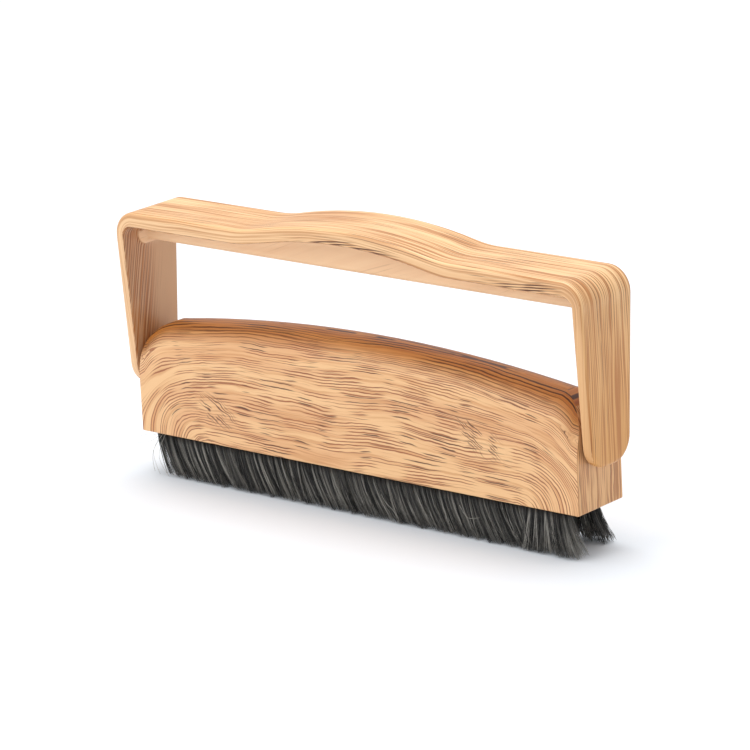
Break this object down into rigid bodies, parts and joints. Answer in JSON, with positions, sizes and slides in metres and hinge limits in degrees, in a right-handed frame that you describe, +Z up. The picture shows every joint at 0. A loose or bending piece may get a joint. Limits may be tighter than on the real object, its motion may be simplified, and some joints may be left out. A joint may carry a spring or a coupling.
{
  "type": "swing-handle record brush",
  "caption": "Slim wood-grain brush with an arched body, parallel rows of short dark fibres under it, and a swing handle pivoted on the body's ends.",
  "frame": {"origin": "centre of the rectangle that the fibre tips stand on, on the plane of the tips", "axes": "+X along the body towards the right-hand pivot, -Y towards the front face, +Z up from the fibre tips to the handle's bar"},
  "size_m": [0.114, 0.0158, 0.0564],
  "materials": {
    "body_print": "satin wood-grain print over moulded ABS",
    "handle_print": "satin wood-grain print over moulded ABS, paler",
    "black_plastic": "fine moulded grain",
    "screw_steel": "black oxide",
    "fibre": "fine dark fibres with a soft sheen",
    "channel_aluminium": "mill finish",
    "wire_steel": "drawn",
    "pin_steel": "ground",
    "bush_plastic": "natural acetal",
    "washer_plastic": "black nylon",
    "spring_steel": "oiled spring steel"
  },
  "bodies": {
    "brush": {"body_shell": "body_print", "base_insert": "black_plastic", "base_screws": "screw_steel", "front_bristles": "fibre", "rear_bristles": "fibre", "front_channel": "channel_aluminium", "rear_channel": "channel_aluminium", "front_core_wire": "wire_steel", "rear_core_wire": "wire_steel", "left_pivot_bush": "bush_plastic", "right_pivot_bush": "bush_plastic", "left_thrust_washer": "washer_plastic", "right_thrust_washer": "washer_plastic", "left_cup_spring": "spring_steel", "right_cup_spring": "spring_steel"},
    "swing_handle": {"handle": "handle_print", "left_pivot_pin": "pin_steel", "right_pivot_pin": "pin_steel", "left_retaining_ring": "spring_steel", "right_retaining_ring": "spring_steel"}
  },
  "joints": [
    {"name": "handle_swing", "type": "hinge", "parent": "brush", "child": "swing_handle", "pos_m": [0, 0, 0.022], "axis": [1, 0, 0], "continuous": true}
  ]
}
